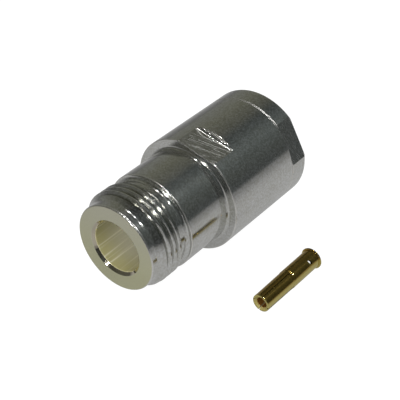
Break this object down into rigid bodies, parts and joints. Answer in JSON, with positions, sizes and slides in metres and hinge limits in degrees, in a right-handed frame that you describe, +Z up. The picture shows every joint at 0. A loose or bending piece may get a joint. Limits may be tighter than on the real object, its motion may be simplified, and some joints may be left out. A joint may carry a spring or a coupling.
{
  "type": "n type connector",
  "caption": "Round coaxial cable jack with a coupling thread, wrench flats and a screw-in clamp nut, its slotted centre contact taken out beside it.",
  "frame": {"origin": "on the connector's axis at the mating reference plane, the bottom of the mating bore", "axes": "+X along the axis towards the cable end, -X out of the mating mouth, +Z up from the surface that the connector lies on"},
  "size_m": [0.0351, 0.0301, 0.019],
  "materials": {
    "nickel_shell": "bright nickel plate on turned brass",
    "nickel_nut": "bright nickel plate on turned brass",
    "nickel_clamp": "nickel plate on turned brass",
    "nickel_washer": "nickel plate on stamped brass",
    "gold_contact": "gold plate on turned brass",
    "white_bead": "smooth white fluoropolymer",
    "seal_rubber": "moulded silicone rubber"
  },
  "bodies": {
    "shell": {"connector_body": "nickel_shell", "front_insulator": "white_bead", "centre_contact": "gold_contact", "braid_clamp": "nickel_clamp", "gasket": "seal_rubber"},
    "washer": {"clamp_washer": "nickel_washer"},
    "nut": {"clamp_nut": "nickel_nut"}
  },
  "joints": [
    {"name": "nut_advance", "type": "slide", "parent": "shell", "child": "washer", "axis": [1, 0, 0], "range_m": [0, 0.0053]},
    {"name": "nut_turn", "type": "hinge", "parent": "washer", "child": "nut", "pos_m": [0.0212, 0, 0], "axis": [1, 0, 0], "range_deg": [0, 1800]}
  ],
  "couplings": [
    {"joint": "nut_advance", "follows": "nut_turn", "m_per_rad": 0.00016844}
  ]
}
